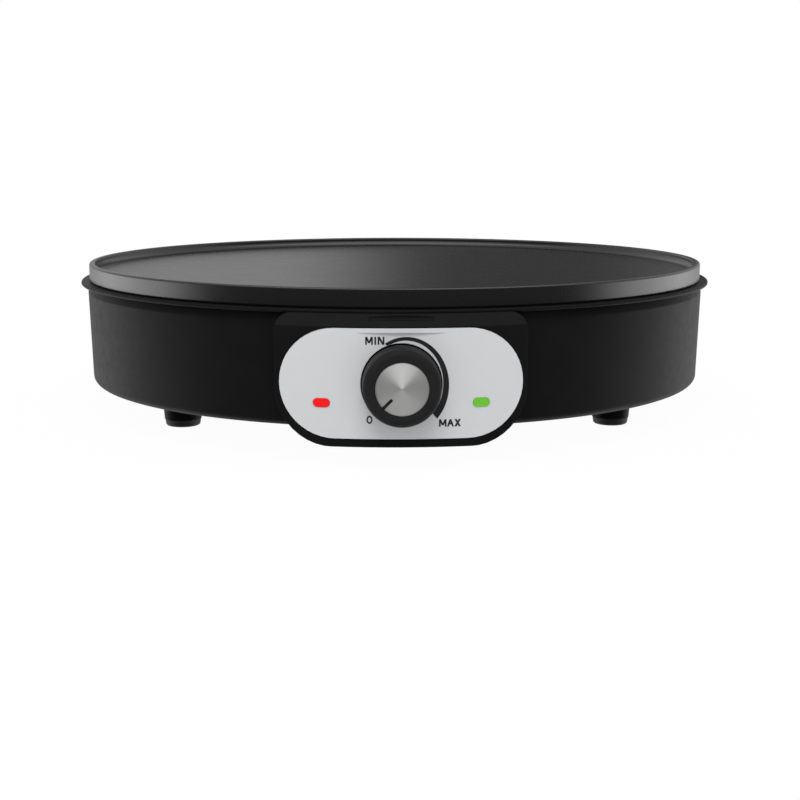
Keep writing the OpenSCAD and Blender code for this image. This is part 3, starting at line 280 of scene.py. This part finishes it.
PLATE_LOW, PLATE_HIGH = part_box("cooking_plate")
FASCIA_LOW, FASCIA_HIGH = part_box("control_fascia")
AXIS_Y = (PLATE_LOW[1] + PLATE_HIGH[1]) / 2     # the plate's axis, about which the fascia curves
FACE_R = AXIS_Y - FASCIA_LOW[1]                 # radius of the fascia's curved face
FACET_FOOT = FASCIA_LOW[2]                      # the facet cut into that face, from its foot
FACET_TOP = FASCIA_HIGH[2] - 1.8 * MM           # to its top, a little below the fascia's
FACET_DEPTH = 1.0 * MM                          # how far it leans back at its top
INK = 0.05 * MM                                 # thickness of the print
STEP = 0.002 * MM                               # from each stroke to the next, where they cross

FASCIA_POINTS = [v.co for v in frame["nodes"]["control_fascia"].data.vertices]
OPENING_R = min(math.hypot(p.x - KNOB.x, p.z - KNOB.z) for p in FASCIA_POINTS) / MM
OPENING_RIM = 0.12   # bare edge between the knob's opening and the print, in millimetres

# The dial's shapes are in millimetres from the knob's axis, X to the right and Z up.
# Ellipses are (centre x, centre z, half width, half height).
ARC_OUTER = (1.95, -0.6, 17.15, 19.6)
ARC_INNER = (1.78, 0.1, 14.95, 17.45)
ARC_START, ARC_END = 120, -44   # degrees, 0 to the right and 90 up
ARC_STEPS, ARC_ROWS = 120, 4    # so many quads that the print follows the fascia's facet
ZERO_OUTER = (-12.92, -14.5, 1.22, 1.68)
ZERO_INNER = (-12.92, -14.5, 0.62, 1.0)
ZERO_STEPS = 32
MIN_LOW, MIN_HIGH, MIN_GAP = (-14.5, 15.9), (-6.85, 19.1), 0.62   # corners, gap between letters
MAX_LOW, MAX_HIGH, MAX_GAP = (15.1, -17.5), (24.0, -14.5), 0.2
STROKE = 0.66                   # width of a letter's stroke

# Each letter is its width over its height, then its strokes from foot to top in a unit box.
LETTERS = {
    "A": (0.85, [((0, 0), (0.5, 1)), ((1, 0), (0.5, 1)), ((0.12, 0.3), (0.88, 0.3))]),
    "I": (0.0, [((0.5, 0), (0.5, 1))]),
    "M": (0.95, [((0, 0), (0, 1)), ((0.5, 0.2), (0, 1)), ((0.5, 0.2), (1, 1)), ((1, 0), (1, 1))]),
    "N": (0.8, [((0, 0), (0, 1)), ((1, 0), (0, 1)), ((1, 0), (1, 1))]),
    "X": (0.8, [((0, 0), (1, 1)), ((1, 0), (0, 1))]),
}


def on_face(x, z, lift):
    """A point of the fascia's face in front of (x, z), lifted off it by lift."""
    reach = math.sqrt(FACE_R ** 2 - x * x)
    if z < FACET_TOP:
        lean = FACET_DEPTH * (z - FACET_FOOT) / (FACET_TOP - FACET_FOOT)
        reach = min(reach, FACE_R - lean)
    return (x, AXIS_Y - reach - lift, z)


def printed(name, quads, step=0.0):
    """Prints quads, each four (x, z) corners, as thin raised ink that belongs to the base. Each is
    thicker by step than the one before, so that strokes that cross don't share a face."""
    points, faces = [], []
    for i, quad in enumerate(quads):
        area = sum(a[0] * b[1] - b[0] * a[1] for a, b in zip(quad, quad[1:] + quad[:1]))
        corners = quad if area > 0 else quad[::-1]
        first = len(points)
        for lift in (0, INK + i * step):
            points += [on_face(KNOB.x + x * MM, KNOB.z + z * MM, lift) for x, z in corners]
        faces.append([first + k for k in (4, 5, 6, 7)])
        for k in range(4):
            after = (k + 1) % 4
            faces.append([first + k, first + after, first + 4 + after, first + 4 + k])
    mesh = bpy.data.meshes.new(name)
    mesh.from_pydata(points, [], faces)
    mesh.materials.append(DIAL_INK)
    piece = bpy.data.objects.new(name, mesh)
    bpy.context.scene.collection.objects.link(piece)
    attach(piece, "base")


def band(outer, inner, start, end, steps, rows=1, keep_out=0.0):
    """Quads that fill the space between two ellipses, from the start angle to the end angle, no
    nearer to the knob's axis than keep_out."""
    def point(i, j):
        angle = math.radians(start + (end - start) * i / steps)
        centre_x, centre_z, half_x, half_z = (a + (b - a) * j / rows for a, b in zip(outer, inner))
        x, z = centre_x + half_x * math.cos(angle), centre_z + half_z * math.sin(angle)
        out = max(1, keep_out / math.hypot(x, z))
        return (x * out, z * out)

    return [[point(i, j), point(i + 1, j), point(i + 1, j + 1), point(i, j + 1)]
            for i in range(steps) for j in range(rows)]


def stroke(foot, top, corner, size):
    """A straight stroke in a letter's box, cut level at its ends, or upright if it lies flat."""
    run, rise = (top[0] - foot[0]) * size[0], (top[1] - foot[1]) * size[1]
    if rise == 0:
        z = corner[1] + foot[1] * size[1]
        left, right = (corner[0] + end[0] * size[0] for end in (foot, top))
        return [(left, z), (right, z), (right, z + STROKE), (left, z + STROKE)]
    half = min(STROKE / 2 * math.hypot(run, rise) / rise, 0.75 * STROKE)
    low, high = (corner[0] + half + end[0] * (size[0] - 2 * half) for end in (foot, top))
    z_low, z_high = (corner[1] + end[1] * size[1] for end in (foot, top))
    return [(low - half, z_low), (low + half, z_low), (high + half, z_high), (high - half, z_high)]


def word(text, low, high, gap):
    """The strokes of a word that fills the box from low to high."""
    shares = [LETTERS[c][0] for c in text]
    spare = high[0] - low[0] - STROKE * len(text) - gap * (len(text) - 1)
    quads, x = [], low[0]
    for letter, share in zip(text, shares):
        size = (STROKE + spare * share / sum(shares), high[1] - low[1])
        quads += [stroke(foot, top, (x, low[1]), size) for foot, top in LETTERS[letter][1]]
        x += size[0] + gap
    return quads


DIAL_INK = dial_ink()
printed("dial_arc", band(ARC_OUTER, ARC_INNER, ARC_START, ARC_END, ARC_STEPS, ARC_ROWS,
                         OPENING_R + OPENING_RIM))
printed("mark_off", band(ZERO_OUTER, ZERO_INNER, 0, 360, ZERO_STEPS))
printed("mark_min", word("MIN", MIN_LOW, MIN_HIGH, MIN_GAP), STEP)
printed("mark_max", word("MAX", MAX_LOW, MAX_HIGH, MAX_GAP), STEP)


# ---------------------------------------------------------------- floor, sky, lamps and camera

AMBIENT = 0.78                  # level of the even light on the object
AMBIENT_TINT = (0.98, 0.99, 1)

# Levels of what reflections see.
SIDE_LEVEL = 1.9                # the walls left and right, low down
SIDE_UPPER = 0.2                # the share of it that is left above the horizon
REAR_LEVEL = 0.41               # the wall behind
FRONT_LEVEL = 0.1               # the dark front, and the foot of the sky all round
SKY_LEVEL = 0.5                 # the sky overhead
BOX_LEVEL = 1.1                 # the soft box high in front
TABLE_LEVEL = 0.5               # the pale table well below the horizon
DIM_DEPTH = 0.88                # how much darker the dim stretch of the rear wall is

# Where they pass into each other. Height is the direction's z, from -1 to 1. Back is its y over its
# length in plan, from -1 in front to 1 behind. Turn is its x over its y.
WALL_TOP = (0.35, 0.75)         # heights between which the walls fade out
HORIZON = (-0.04, 0.12)         # heights between which the side walls fall to their upper share
SIDE_FRONT = (-0.4, 0.1)        # back, where the side walls begin
SIDE_REAR = (0.5, 0.95)         # back, where they give way to the rear wall
DIM_LEFT = (-0.07, 0.05)        # turn, at the left edge of the dim stretch
DIM_RIGHT = (0.15, 0.36)        # turn, at its right edge
DIM_SKY = (0.3, 0.8)            # back, where the dim stretch begins to shade the sky too
SKY_RISE = (0.1, 0.8)           # heights between which the sky brightens
BOX_FOOT = (0.45, 0.75)         # heights between which the soft box begins
BOX_REAR = (-0.3, 0.3)          # back, where it ends
TABLE_EDGE = (-0.8, -0.3)       # heights between which the table fades out

FLOOR_R = 0.46
FLOOR_DROP = 0.0002             # how far the floor lies below the feet
FLOOR_GRAIN = 180               # scale of its noise
FLOOR_GREYS = (0.80, 0.84)
FLOOR_WHITE = 0.97              # the share of plain white in what the camera sees of it

KEY_AT, KEY_AIM = (-0.1, -1.3, 1.75), (0, -0.1, 0.04)
KEY_SIZE = (1.3, 0.9)
KEY_LEVEL = 6.4

CAMERA_AT = (-11.9 * MM, -706.7 * MM, 129.84 * MM)
CAMERA_TURN = (math.radians(79.6), 0, math.radians(-1.164))
CAMERA_LENS, CAMERA_SENSOR = 63.25, 36.0   # millimetres


def studio():
    """White to the camera and plain soft light on the object. Reflections see a studio: bright
    walls low at the left and right, a fair one behind that is dim a little right of the middle, a
    dark front with a soft box high up, a soft sky and a pale table below."""
    world = bpy.data.worlds.new("studio")
    world.use_nodes = True
    bpy.context.scene.world = world
    tree = world.node_tree
    tree.nodes.clear()

    def node(kind, inputs=None, **settings):
        return add_node(tree, kind, inputs, **settings)

    def ramp(value, edges, low=0.0, high=1.0):
        return node("ShaderNodeMapRange", {"Value": value, "From Min": edges[0],
                                           "From Max": edges[1], "To Min": low, "To Max": high},
                    interpolation_type="SMOOTHSTEP").outputs["Result"]

    def fall(value, edges):
        return ramp(value, edges, 1.0, 0.0)

    def calc(operation, a, b=0.0):
        return node("ShaderNodeMath", {0: a, 1: b}, operation=operation).outputs[0]

    def product(*values):
        total = values[0]
        for value in values[1:]:
            total = calc("MULTIPLY", total, value)
        return total

    def background(level, tint=(1, 1, 1)):
        return node("ShaderNodeBackground", {"Color": (*tint, 1), "Strength": level}).outputs[0]

    path = node("ShaderNodeLightPath").outputs
    shiny = calc("MAXIMUM", path["Is Glossy Ray"], path["Is Transmission Ray"])
    direction = node("ShaderNodeTexCoord").outputs["Generated"]
    split = node("ShaderNodeSeparateXYZ", {"Vector": direction})
    x, y, height = (split.outputs[k] for k in "XYZ")
    plan = calc("SQRT", calc("ADD", calc("MULTIPLY", x, x), calc("MULTIPLY", y, y)))
    back = calc("DIVIDE", y, calc("MAXIMUM", plan, 0.01))   # the maxima keep clear of zero
    turn = calc("DIVIDE", x, calc("MAXIMUM", y, 0.05))

    low = fall(height, WALL_TOP)
    sides = product(ramp(back, SIDE_FRONT), fall(back, SIDE_REAR), low, SIDE_LEVEL)
    walls = product(sides, ramp(height, HORIZON, 1.0, SIDE_UPPER))
    dim = product(ramp(turn, DIM_LEFT), fall(turn, DIM_RIGHT), DIM_DEPTH)
    rear = product(ramp(back, SIDE_REAR), low, calc("SUBTRACT", 1.0, dim), REAR_LEVEL)
    shade = calc("SUBTRACT", 1.0, product(dim, ramp(back, DIM_SKY)))
    sky = product(ramp(height, SKY_RISE, FRONT_LEVEL, SKY_LEVEL), shade)
    box = product(ramp(height, BOX_FOOT), fall(back, BOX_REAR), BOX_LEVEL)
    table = ramp(height, TABLE_EDGE, TABLE_LEVEL, 0.0)
    mirrored = calc("ADD", calc("ADD", walls, rear), calc("ADD", calc("ADD", sky, box), table))

    lit = node("ShaderNodeMixShader", {0: shiny, 1: background(AMBIENT, AMBIENT_TINT),
                                       2: background(mirrored)}).outputs[0]
    seen = node("ShaderNodeMixShader", {0: path["Is Camera Ray"], 1: lit, 2: background(1.0)})
    node("ShaderNodeOutputWorld", {"Surface": seen.outputs[0]})


def floor():
    """A round pale floor that is white to the camera but for a soft shadow under the object."""
    bpy.ops.mesh.primitive_circle_add(vertices=96, radius=FLOOR_R, fill_type="NGON",
                                      location=(0, 0, -FLOOR_DROP))
    sheet = bpy.context.object
    sheet.name = "floor"
    look = bpy.data.materials.new("floor")
    look.use_nodes = True
    tree = look.node_tree
    tree.nodes.clear()
    dark, light = ((grey, grey, grey, 1) for grey in FLOOR_GREYS)
    grain = add_node(tree, "ShaderNodeTexNoise", {"Scale": FLOOR_GRAIN}).outputs["Fac"]
    tint = add_node(tree, "ShaderNodeMix", {"Factor": grain, "A": dark, "B": light},
                    data_type="RGBA").outputs["Result"]
    matte = add_node(tree, "ShaderNodeBsdfDiffuse", {"Color": tint}).outputs[0]
    white = add_node(tree, "ShaderNodeEmission").outputs[0]
    camera_ray = add_node(tree, "ShaderNodeLightPath").outputs["Is Camera Ray"]
    share = add_node(tree, "ShaderNodeMath", {0: camera_ray, 1: FLOOR_WHITE},
                     operation="MULTIPLY").outputs[0]
    seen = add_node(tree, "ShaderNodeMixShader", {0: share, 1: matte, 2: white}).outputs[0]
    add_node(tree, "ShaderNodeOutputMaterial", {"Surface": seen})
    sheet.data.materials.append(look)
    sheet.visible_glossy = False


def lamp(name, at, aim, size, level):
    """A soft rectangular lamp whose face has the radiance level, where 1 is white. Neither the
    camera nor reflections see it."""
    light = bpy.data.lights.new(name, "AREA")
    light.shape = "RECTANGLE"
    light.size, light.size_y = size
    light.energy = level * math.pi * size[0] * size[1]
    holder = bpy.data.objects.new(name, light)
    bpy.context.scene.collection.objects.link(holder)
    holder.location = at
    holder.rotation_euler = (Vector(aim) - Vector(at)).to_track_quat("-Z", "Y").to_euler()
    holder.visible_camera = False
    holder.visible_glossy = False


studio()
floor()
lamp("key", KEY_AT, KEY_AIM, KEY_SIZE, KEY_LEVEL)

view = bpy.data.cameras.new("camera")
view.lens = CAMERA_LENS
view.sensor_width = CAMERA_SENSOR
camera = bpy.data.objects.new("camera", view)
bpy.context.scene.collection.objects.link(camera)
camera.location = CAMERA_AT
camera.rotation_euler = CAMERA_TURN
bpy.context.scene.camera = camera
bpy.context.scene.view_settings.view_transform = "Standard"
